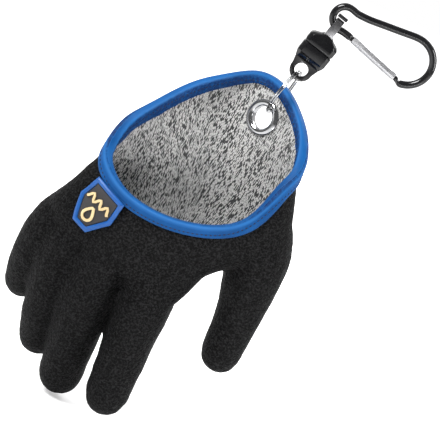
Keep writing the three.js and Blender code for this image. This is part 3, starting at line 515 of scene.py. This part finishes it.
def metalFinish(name, light, dark, roughness, stretch, depth, metallic=1.0):
    finish, tree, shader = newFinish(name, Metallic=metallic, Roughness=roughness)
    at = objectPoint(tree)
    drift = useGroup(tree, driftGroup, Vector=at, Size=90.0, Light=(*light, 1), Dark=(*dark, 1))
    brush = useGroup(tree, brushGroup, Vector=at, Size=700.0, Stretch=stretch)
    tree.links.new(drift.outputs["Colour"], shader.inputs["Base Color"])
    rough = remap(tree, brush.outputs["Wear"], 0.0, 1.0, roughness * 0.8, roughness * 1.35)
    tree.links.new(rough, shader.inputs["Roughness"])
    bump(tree, shader, brush.outputs["Height"], depth)
    return finish


latex, knit, tape, thread = latexFinish(), knitFinish(), tapeFinish(), threadFinish()
badgeBlue = mouldedFinish("blueRubber", light=(0.006, 0.11, 0.42), dark=(0.004, 0.08, 0.32),
                          roughness=0.36, grainSize=900.0, depth=0.00004)
badgeField = mouldedFinish("charcoalRubber", light=(0.040, 0.038, 0.040),
                           dark=(0.028, 0.026, 0.028), roughness=0.6, grainSize=1500.0,
                           depth=0.00007)
badgeCream = mouldedFinish("creamRubber", light=(0.85, 0.68, 0.38), dark=(0.74, 0.55, 0.28),
                           roughness=0.5, grainSize=1200.0, depth=0.00004)
clipPlastic = mouldedFinish("blackClipPlastic", light=(0.007, 0.007, 0.008),
                            dark=(0.004, 0.004, 0.005), roughness=0.13, grainSize=500.0,
                            depth=0.000004, pits=0.1)
chrome = metalFinish("chromePlate", light=(0.58, 0.58, 0.59), dark=(0.40, 0.41, 0.42),
                     roughness=0.08, stretch=(1, 1, 1), depth=0.000003)
strapSteel = metalFinish("strapSteel", light=(0.38, 0.38, 0.39), dark=(0.22, 0.22, 0.23),
                         roughness=0.24, stretch=(1, 1, 0.06), depth=0.000008)
barSteel = metalFinish("darkBarSteel", light=(0.06, 0.06, 0.063), dark=(0.025, 0.025, 0.027),
                       roughness=0.25, stretch=(0.2, 1, 1), depth=0.000008, metallic=0.7)
anodised = metalFinish("blackAnodising", light=(0.012, 0.012, 0.013), dark=(0.005, 0.005, 0.006),
                       roughness=0.13, stretch=(0.1, 1, 0.3), depth=0.000003, metallic=0.0)
aluminium = metalFinish("bareAluminium", light=(0.56, 0.56, 0.57), dark=(0.44, 0.44, 0.46),
                        roughness=0.42, stretch=(0.03, 1, 0.1), depth=0.0000004, metallic=0.85)
print("finishes built")


# the eyelet's own line, and the mouth's edge
def centreOf(piece):
    total = Vector()
    for vertex in piece.data.vertices:
        total += vertex.co
    return total / len(piece.data.vertices)


def flatDirection(piece):  # the direction in which a round flat piece is thinnest
    middle = centreOf(piece)
    best = None
    for i in range(-60, 61, 2):  # degrees that are tried
        for j in range(-30, 31, 2):
            a, b = math.radians(i), math.radians(j)
            way = Vector((math.sin(a) * math.cos(b), math.cos(a) * math.cos(b), math.sin(b)))
            spread = max(abs((v.co - middle).dot(way)) for v in piece.data.vertices)
            if best is None or spread < best[0]:
                best = (spread, way)
    return middle, best[1]


eyeletMiddle, eyeletAxis = flatDirection(nodes["eyelet"])


def offEyelet(point):  # (distance from the eyelet's axis, distance along it)
    away = point - eyeletMiddle
    along = away.dot(eyeletAxis)
    return (away - eyeletAxis * along).length, abs(along)


def closedCurve(points, each):  # a smooth closed line through the points
    line = []
    count = len(points)
    for i in range(count):
        a, b, c, d = (points[(i + k) % count] for k in (-1, 0, 1, 2))
        for k in range(each):
            t = k / each
            square = (2 * a - 5 * b + 4 * c - d) * t * t
            cube = (3 * b - a - 3 * c + d) * t ** 3
            line.append(0.5 * ((2 * b) + (c - a) * t + square + cube))
    return line


def surfaceOf(piece):
    return BVHTree.FromObject(piece, bpy.context.evaluated_depsgraph_get())


def held(share):  # kept between 0 and 1
    return max(0.0, min(1.0, share))


gloveLook = {
    "voxel": 0.0014,
    "rimSharp": 38,  # degrees; the edges at which the wall turns over
    "rimNear": 0.004,  # such an edge lies this close to the tape
    "holeNear": (0.009, 0.006),  # or to the eyelet, off its axis and along it
    "holeEdge": 0.0095,  # open edges nearer to the eyelet's axis are its hole's
    "capRise": (0.004, 0.03),  # the mouth is closed for the remesh, and cut open after it
    "capTop": 0.07,
    "rimCut": 0.0002,
    "rimSink": 0.0001,
    "relax": 22,
    "regain": 0.0004,  # what the relaxing takes off
    "wall": 0.00125,
    "lump": 0.0010,  # slow unevenness, top to bottom
    "lumpSize": 0.017,
    "crinkle": 0.00045,
    "crinkleSize": 0.0030,
    "calm": 0.0008,  # no unevenness this near to what sits on the glove
    "calmFade": 0.008,
    "holeRadius": 0.0078,
    "holeClear": 0.012,
}
mouthLook = {
    "halfSize": (0.054, 0.033),  # across and deep
    "between": 8,  # points of the line for each one of the edge
    "evening": 80,  # passes that take out the rim's small steps
    "top": 0.052,  # the edge lies between these heights
    "bottom": -0.06,
}
tapeSurface = surfaceOf(nodes["edge_binding"])
badgeSurface = surfaceOf(nodes["badge_frame"])
eyeletSurface = surfaceOf(nodes["eyelet"])


def turnOf(point):  # the point's angle round the mouth
    across, deep = mouthLook["halfSize"]
    return math.atan2(point.y / deep, point.x / across)


def outwardAt(point):
    across, deep = mouthLook["halfSize"]
    return Vector((point.x / across ** 2, point.y / deep ** 2, 0)).normalized()


def facing(vertex):  # 1 on the outer leg of the tape, -1 on the inner, 0 along the fold
    return vertex.normal.dot(outwardAt(vertex.co))


def areaOf(piece):
    return sum(face.area for face in piece.data.polygons)


def outsideOf(node, name):  # the outer skin of the shell alone, open at the mouth
    work = copyOf(node, name, 0.1)
    bpy.ops.object.mode_set(mode="EDIT")
    bpy.ops.mesh.select_mode(type="EDGE")
    bpy.ops.mesh.select_all(action="DESELECT")
    bpy.ops.mesh.edges_select_sharp(sharpness=math.radians(gloveLook["rimSharp"]))
    bpy.ops.object.mode_set(mode="OBJECT")
    corners = work.data.vertices
    for edge in work.data.edges:
        middle = (corners[edge.vertices[0]].co + corners[edge.vertices[1]].co) / 2
        away, along = offEyelet(middle)
        atHole = away < gloveLook["holeNear"][0] and along < gloveLook["holeNear"][1]
        atRim = tapeSurface.find_nearest(middle)[3] < gloveLook["rimNear"]
        edge.select = edge.select and (atRim or atHole)
    bpy.ops.object.mode_set(mode="EDIT")
    bpy.ops.mesh.edge_split(type="EDGE")
    bpy.ops.mesh.select_all(action="SELECT")
    bpy.ops.mesh.separate(type="LOOSE")
    bpy.ops.object.mode_set(mode="OBJECT")
    parts = [o for o in bpy.context.selected_objects if o.type == "MESH"]
    parts.sort(key=areaOf)
    print("shell split into", len(parts), "parts")
    for part in parts[:-1]:
        bpy.data.objects.remove(part)
    parts[-1].name = name
    return parts[-1]


def atMouth(key):
    return offEyelet(skin.data.vertices[key[0]].co)[0] > gloveLook["holeEdge"]


skin = outsideOf("glove_shell", "gloveSkin")
rimKeys = {key for key in openEdges(skin) if atMouth(key)}
rimPoints = {v for key in rimKeys for v in key}
mouthEdge = sorted((skin.data.vertices[v].co.copy() for v in rimPoints), key=turnOf)
mouthLine = closedCurve(mouthEdge, mouthLook["between"])
for again in range(mouthLook["evening"]):
    mouthLine = [(mouthLine[i - 1] + 2 * p + mouthLine[(i + 1) % len(mouthLine)]) / 4
                 for i, p in enumerate(mouthLine)]
mouthLength = [0.0]
for i, point in enumerate(mouthLine):
    after = mouthLine[(i + 1) % len(mouthLine)]
    mouthLength.append(mouthLength[-1] + (after - point).length)
mouthFinder = kdtree.KDTree(len(mouthLine))
for i, point in enumerate(mouthLine):
    mouthFinder.insert((point.x, point.y, 0), i)
mouthFinder.balance()
mouthTurns = [turnOf(p) for p in mouthLine]
print("mouth edge found,", len(mouthEdge), "points,", round(mouthLength[-1] * 1000), "mm round")


def lengthPast(i, share):  # length round the mouth, at a share of the way from point i to the next
    return mouthLength[i] + (mouthLength[i + 1] - mouthLength[i]) * share


def lengthAtTurn(point):  # length round the mouth at the point's own angle, however deep it lies
    turn = turnOf(point)
    low = 0
    for i, at in enumerate(mouthTurns):
        if at <= turn:
            low = i
        else:
            break
    here, after = mouthTurns[low], mouthTurns[(low + 1) % len(mouthTurns)]
    if after < here:
        after += 2 * math.pi
    return lengthPast(low, held((turn - here) / max(1e-9, after - here)))


def roundMouth(point):  # (length round the mouth, height of its edge there)
    flat = Vector((point.x, point.y, 0))
    nearest = mouthFinder.find(flat)[1]
    best = None
    for i in (nearest - 1, nearest):
        a, b = mouthLine[i % len(mouthLine)], mouthLine[(i + 1) % len(mouthLine)]
        side = Vector((b.x - a.x, b.y - a.y, 0))
        share = held((flat - Vector((a.x, a.y, 0))).dot(side) / side.length_squared)
        spot = a.lerp(b, share)
        away = (flat - Vector((spot.x, spot.y, 0))).length
        if best is None or away < best[0]:
            best = (away, lengthPast(i % len(mouthLine), share), spot.z)
    return best[1:]


# glove
def isWaste(middle, normal):  # what closed the mouth, and the eyelet's hole
    if middle.z > mouthLook["top"]:
        return True
    if middle.z > mouthLook["bottom"] and middle.z > roundMouth(middle)[1] - gloveLook["rimCut"]:
        return True
    away, along = offEyelet(middle)
    return away < gloveLook["holeRadius"] and along < gloveLook["holeClear"]


def makeGlove():
    chooseEdges(skin, {key for key in openEdges(skin) if key not in rimKeys})  # the eyelet's hole
    bpy.ops.mesh.edge_face_add()
    bpy.ops.object.mode_set(mode="OBJECT")
    chooseEdges(skin, rimKeys)
    for rise in gloveLook["capRise"]:
        bpy.ops.mesh.extrude_region_move(TRANSFORM_OT_translate={"value": (0, 0, rise)})
    bpy.ops.transform.resize(value=(1, 1, 0), center_override=(0, 0, gloveLook["capTop"]))
    bpy.ops.mesh.edge_face_add()
    bpy.ops.mesh.select_all(action="SELECT")
    bpy.ops.mesh.quads_convert_to_tris()
    bpy.ops.mesh.normals_make_consistent(inside=False)
    bpy.ops.object.mode_set(mode="OBJECT")
    addStep(skin, "REMESH", mode="VOXEL", voxel_size=gloveLook["voxel"])
    addStep(skin, "SMOOTH", factor=0.5, iterations=gloveLook["relax"])
    applySteps(skin)

    chooseFaces(skin, isWaste)
    bpy.ops.mesh.delete(type="FACE")
    bpy.ops.object.mode_set(mode="OBJECT")
    for v in {v for key in openEdges(skin) for v in key}:
        point = skin.data.vertices[v].co
        if offEyelet(point)[0] > gloveLook["holeClear"]:
            point.z = roundMouth(point)[1] - gloveLook["rimSink"]

    free = skin.vertex_groups.new(name="free")  # 0 beside what sits on the glove, 1 elsewhere
    for vertex in skin.data.vertices:
        gap = min(surface.find_nearest(vertex.co)[3]
                  for surface in (tapeSurface, badgeSurface, eyeletSurface))
        share = held((gap - gloveLook["calm"]) / gloveLook["calmFade"])
        free.add([vertex.index], share, "REPLACE")
    addStep(skin, "DISPLACE", strength=gloveLook["regain"], mid_level=0.0, vertex_group="free")
    addStep(skin, "DISPLACE", texture=cloudTexture("gloveLumps", gloveLook["lumpSize"], 1),
            strength=gloveLook["lump"], mid_level=0.5, vertex_group="free")
    addStep(skin, "DISPLACE", texture=cloudTexture("gloveCrinkle", gloveLook["crinkleSize"], 2),
            strength=gloveLook["crinkle"], mid_level=0.45, vertex_group="free")
    applySteps(skin)
    outerSkin = surfaceOf(skin)
    addStep(skin, "SOLIDIFY", thickness=gloveLook["wall"], offset=-1.0, use_even_offset=False)
    applySteps(skin)
    pick(skin)
    bpy.ops.object.shade_smooth()
    skin.vertex_groups.clear()
    return dress(skin, latex, "glove", "latex", "glove_shell"), outerSkin


glove, outerSkin = makeGlove()
print("glove made,", len(glove.data.polygons), "faces")


# lining and edge tape
clothLook = {
    "column": 0.0013,  # one column of stitches
    "row": 0.0019,
    "linerFolds": 0.0007,
    "linerFoldSize": 0.022,
    "linerDepth": 0.0015,  # below the latex's outer face
    "linerReach": 0.004,  # how far outside it a point is still drawn in
    "tapeUnit": 0.001,  # the tape's pattern is in mm
    "tapeCrease": 0.0010,
    "tapeCreaseSize": 0.0035,
    "creaseFade": 0.0015,  # below the fold
    "seamDrop": 0.0047,  # from the fold down to the line of stitches
    "seamDip": 0.0003,
    "seamWidth": 0.0012,
    "stitchEvery": 0.0027,
    "stitchLong": 0.0017,
    "stitchThick": 0.0008,
    "stitchRise": 0.00002,
    "stitchCast": (0.012, 0.02),  # from how far off the tape is sought, and how far on
    "stitchGap": (0.0012, 0.001),  # kept from the badge and the eyelet
}


# u runs round the mouth and v down from it; on a folded piece v is below nought up the inner side
def layCloth(piece, unitU, unitV, folded):
    columns = round(mouthLength[-1] / unitU)
    layer = piece.data.uv_layers.new(name="cloth")
    places = []
    for vertex in piece.data.vertices:
        if folded:
            along, level = roundMouth(vertex.co)
            down = (level - vertex.co.z) / unitV * (-1 if facing(vertex) < 0 else 1)
        else:
            along, down = lengthAtTurn(vertex.co), -vertex.co.z / unitV
        places.append((along / mouthLength[-1] * columns, down))
    for face in piece.data.polygons:
        start = places[face.vertices[0]][0]
        for corner in face.loop_indices:
            u, v = places[piece.data.loops[corner].vertex_index]
            if u - start > columns / 2:
                u -= columns
            if start - u > columns / 2:
                u += columns
            layer.data[corner].uv = (u, v)


def makeLiner():
    piece = copyOf("knit_liner", "knitLining", 20)
    addStep(piece, "SUBSURF", levels=2, render_levels=2)
    addStep(piece, "DISPLACE", texture=cloudTexture("linerFolds", clothLook["linerFoldSize"], 1),
            strength=-clothLook["linerFolds"], mid_level=0.3)
    applySteps(piece)
    for vertex in piece.data.vertices:  # nothing of it comes through the latex
        spot, way = outerSkin.find_nearest(vertex.co)[:2]
        depth = (spot - vertex.co).dot(way)
        if -clothLook["linerReach"] < depth < clothLook["linerDepth"]:
            vertex.co -= way * (clothLook["linerDepth"] - depth)
    layCloth(piece, clothLook["column"], clothLook["row"], False)
    smoothBy(piece, 60)
    return dress(piece, knit, "glove", "knit", "knit_liner")


def makeTape():
    piece = copyOf("edge_binding", "edgeTape", 180, 180, 2.0)
    addStep(piece, "SUBSURF", levels=3, render_levels=3)
    addStep(piece, "SMOOTH", factor=0.5, iterations=4)
    applySteps(piece)
    inner = piece.vertex_groups.new(name="innerSide")
    dips = []
    for vertex in piece.data.vertices:
        drop = roundMouth(vertex.co)[1] - vertex.co.z
        side = facing(vertex)
        hidden = held(-side * 1.6) * held(drop / clothLook["creaseFade"])
        inner.add([vertex.index], 0.02 + 0.98 * hidden, "REPLACE")
        offSeam = abs(drop - clothLook["seamDrop"]) / clothLook["seamWidth"]
        dip = max(0.0, 1 - offSeam) * max(0.0, side)
        dips.append(outwardAt(vertex.co) * clothLook["seamDip"] * dip * dip)
    for vertex, dip in zip(piece.data.vertices, dips):
        vertex.co -= dip
    addStep(piece, "DISPLACE", texture=cloudTexture("tapeCreases", clothLook["tapeCreaseSize"], 1),
            strength=clothLook["tapeCrease"], mid_level=0.45, vertex_group="innerSide")
    applySteps(piece)
    piece.vertex_groups.clear()
    layCloth(piece, clothLook["tapeUnit"], clothLook["tapeUnit"], True)
    smoothBy(piece, 75)
    return dress(piece, tape, "glove", "tape", "edge_binding")


def seamSpots(onTape, side):  # where each stitch of one side meets the tape, or nothing
    spots = []
    count, total = round(mouthLength[-1] / clothLook["stitchEvery"]), len(mouthLine)
    for n in range(count):
        at = n / count * mouthLength[-1]
        i = max(k for k in range(total) if mouthLength[k] <= at)
        share = (at - mouthLength[i]) / max(1e-9, mouthLength[i + 1] - mouthLength[i])
        point = mouthLine[i].lerp(mouthLine[(i + 1) % total], share)
        run = mouthLine[(i + 1) % total] - mouthLine[i]
        outward = Vector((run.y, -run.x, 0)).normalized()
        castFrom, castOn = clothLook["stitchCast"]
        start = point + outward * side * castFrom - Vector((0, 0, clothLook["seamDrop"]))
        hit = onTape.ray_cast(start, -outward * side, castOn)
        meets = hit[0] is not None and hit[1].dot(outward * side) > 0.2
        spots.append(hit if meets else None)
    return spots


def stitchPattern():
    bpy.ops.object.select_all(action="DESELECT")
    bpy.ops.mesh.primitive_uv_sphere_add(segments=8, ring_count=6, radius=0.5, location=(0, 0, 0))
    pattern = bpy.context.object
    pattern.name = "stitchPattern"
    thick = clothLook["stitchThick"]
    bpy.ops.object.mode_set(mode="EDIT")
    bpy.ops.mesh.select_all(action="SELECT")
    bpy.ops.transform.resize(value=(clothLook["stitchLong"], thick, thick * 0.8))
    bpy.ops.object.mode_set(mode="OBJECT")
    return pattern


def makeStitches():
    onTape = surfaceOf(edgeTape)
    pattern = stitchPattern()
    badgeGap, eyeletGap = clothLook["stitchGap"]
    copies = []
    for side in (1, -1):
        spots = seamSpots(onTape, side)
        for n, hit in enumerate(spots):
            after = spots[(n + 1) % len(spots)]
            if hit is None or after is None:
                continue
            if (after[0] - hit[0]).length > clothLook["stitchEvery"] * 1.7:
                continue
            nearBadge = badgeSurface.find_nearest(hit[0])[3] < badgeGap
            if nearBadge or eyeletSurface.find_nearest(hit[0])[3] < eyeletGap:
                continue
            run = (after[0] - hit[0]).normalized()
            over = hit[1].cross(run).normalized()
            turn = Matrix((run, over, run.cross(over))).transposed().to_4x4()
            place = Matrix.Translation(hit[0] + hit[1] * clothLook["stitchRise"])
            stitch = bpy.data.objects.new("stitch", pattern.data.copy())
            collection.objects.link(stitch)
            stitch.data.transform(place @ turn)
            copies.append(stitch)
    bpy.data.objects.remove(pattern)
    bpy.ops.object.select_all(action="DESELECT")
    for stitch in copies:
        stitch.select_set(True)
    bpy.context.view_layer.objects.active = copies[0]
    bpy.ops.object.join()
    piece = bpy.context.object
    piece.name = "tapeStitches"
    bpy.ops.object.shade_smooth()
    return dress(piece, thread, "glove", "tape")


makeLiner()
edgeTape = makeTape()
makeStitches()
print("lining, tape and stitches made")


# badge
badgeLook = {"frameBevel": 0.00045, "plateBevel": 0.00025, "reliefBevel": 0.0002}


def makeBadge():
    for node, name, width, finish, slot in (
        ("badge_frame", "badgeBorder", badgeLook["frameBevel"], badgeBlue, "badge_blue"),
        ("badge_plate", "badgeField", badgeLook["plateBevel"], badgeField, "badge_field"),
        ("badge_wave", "badgeWave", badgeLook["reliefBevel"], badgeCream, "badge_relief"),
        ("badge_drop", "badgeDrop", badgeLook["reliefBevel"], badgeCream, "badge_relief"),
    ):
        bevelled(node, name, width, finish, "glove", slot, limit=32, flat=8, smooth=50)


makeBadge()
print("badge made")

# eyelet, ring and clip
hardwareLook = {
    "rounding": 2,  # subdivision levels of eyelet, ring and rod
    "clipBevel": 0.0007,
    "strapBevel": 0.0003,
    "barBevel": 0.0006,
    "gateBevel": 0.0006,
}


def makeHardware():
    rounding = hardwareLook["rounding"]
    softened("eyelet", "clothEyelet", rounding, chrome, "glove", "chrome")
    softened("split_ring", "splitRing", rounding, chrome, "glove", "chrome")
    for node, name, bevel, finish, body, slot in (
        ("clip_lower", "clipLowerHalf", "clipBevel", clipPlastic, "glove", "clip_shell"),
        ("clip_upper", "clipUpperHalf", "clipBevel", clipPlastic, "clip_top", "clip_shell"),
        ("strap_loop", "strapLoop", "strapBevel", strapSteel, "hook", "strap_steel"),
        ("strap_bar", "strapBar", "barBevel", barSteel, "hook", "bar_steel"),
    ):
        bevelled(node, name, hardwareLook[bevel], finish, body, slot)
    softened("carabiner_body", "carabinerRod", rounding, anodised, "hook", "black_anodised")
    bevelled("carabiner_gate", "carabinerGate", hardwareLook["gateBevel"], aluminium,
             "gate", "bare_aluminium")


makeHardware()
print("hardware made")

# stage and lights
stageLook = {
    "floorDrop": 0.0012,
    "floorSize": 6.0,
    "floorLight": (0.93, 0.93, 0.93, 1),
    "floorDark": (0.90, 0.90, 0.90, 1),
    "key": 27.0,
    "fill": 13.0,
    "rim": 6.0,
    "strip": 0.4,
    "worldFront": 0.16,
    "worldBehind": 0.75,
    "glowNear": 0.42,  # the floor's camera-only glow is painted light, weaker under the glove as painted shade, so that a soft shadow shows
    "glowFar": 1.0,
}


def makeStage():
    low = cadBox[0].z - stageLook["floorDrop"]
    bpy.ops.object.select_all(action="DESELECT")
    bpy.ops.mesh.primitive_plane_add(size=stageLook["floorSize"], location=(0, 0, low))
    floor = bpy.context.object
    floor.name = "paleFloor"
    finish, tree, shader = newFinish("palePaper", Roughness=0.85, Emission_Color=(1, 1, 1, 1))
    drift = useGroup(tree, driftGroup, Vector=objectPoint(tree), Size=3.0,
                     Light=stageLook["floorLight"], Dark=stageLook["floorDark"])
    tree.links.new(drift.outputs["Colour"], shader.inputs["Base Color"])
    # the floor glows for camera rays alone, as painted light, and less near the glove, as painted
    # shade
    seen = put(tree, "ShaderNodeLightPath").outputs["Is Camera Ray"]
    away = put(tree, "ShaderNodeVectorMath", {"operation": "LENGTH"}, n0=objectPoint(tree))
    glow = remap(tree, away.outputs["Value"], 0.10, 0.55,
                 stageLook["glowNear"], stageLook["glowFar"])
    tree.links.new(sums(tree, "MULTIPLY", seen, glow), shader.inputs["Emission Strength"])
    floor.data.materials.append(finish)


def makeLight(name, place, size, power, target=(0.01, 0.0, -0.04)):
    data = bpy.data.lights.new(name, "AREA")
    data.energy = power
    data.shape = "RECTANGLE"
    data.size, data.size_y = size
    lamp = bpy.data.objects.new(name, data)
    collection.objects.link(lamp)
    lamp.location = place
    lamp.rotation_mode = "QUATERNION"
    lamp.rotation_quaternion = (Vector(target) - Vector(place)).to_track_quat("-Z", "Y")


def makeWorld():
    world = bpy.data.worlds.new("paleStudio")
    world.use_nodes = True
    tree = world.node_tree
    background = tree.nodes["Background"]
    background.inputs[0].default_value = (1, 1, 1, 1)
    seen = put(tree, "ShaderNodeLightPath").outputs["Is Camera Ray"]
    at = put(tree, "ShaderNodeTexCoord").outputs["Generated"]
    way = put(tree, "ShaderNodeSeparateXYZ", n0=at).outputs[1]  # from the camera's side to behind
    tent = remap(tree, way, -0.4, 0.7, stageLook["worldFront"], stageLook["worldBehind"])
    tree.links.new(remap(tree, seen, 0.0, 1.0, tent, 1.0), background.inputs[1])
    bpy.context.scene.world = world


makeStage()
makeWorld()
makeLight("keySoftbox", (-0.9, -0.62, 1.05), (0.6, 0.6), stageLook["key"])
makeLight("fillSoftbox", (1.15, -0.35, 0.45), (0.35, 0.9), stageLook["fill"])
makeLight("rimSoftbox", (0.4, 0.9, 0.8), (0.8, 0.4), stageLook["rim"])
makeLight("lowStrip", (0.24, -0.40, -0.16), (0.45, 0.02), stageLook["strip"], (0.07, 0.031, 0.09))
bpy.context.scene.view_settings.view_transform = "Standard"
print("stage set")
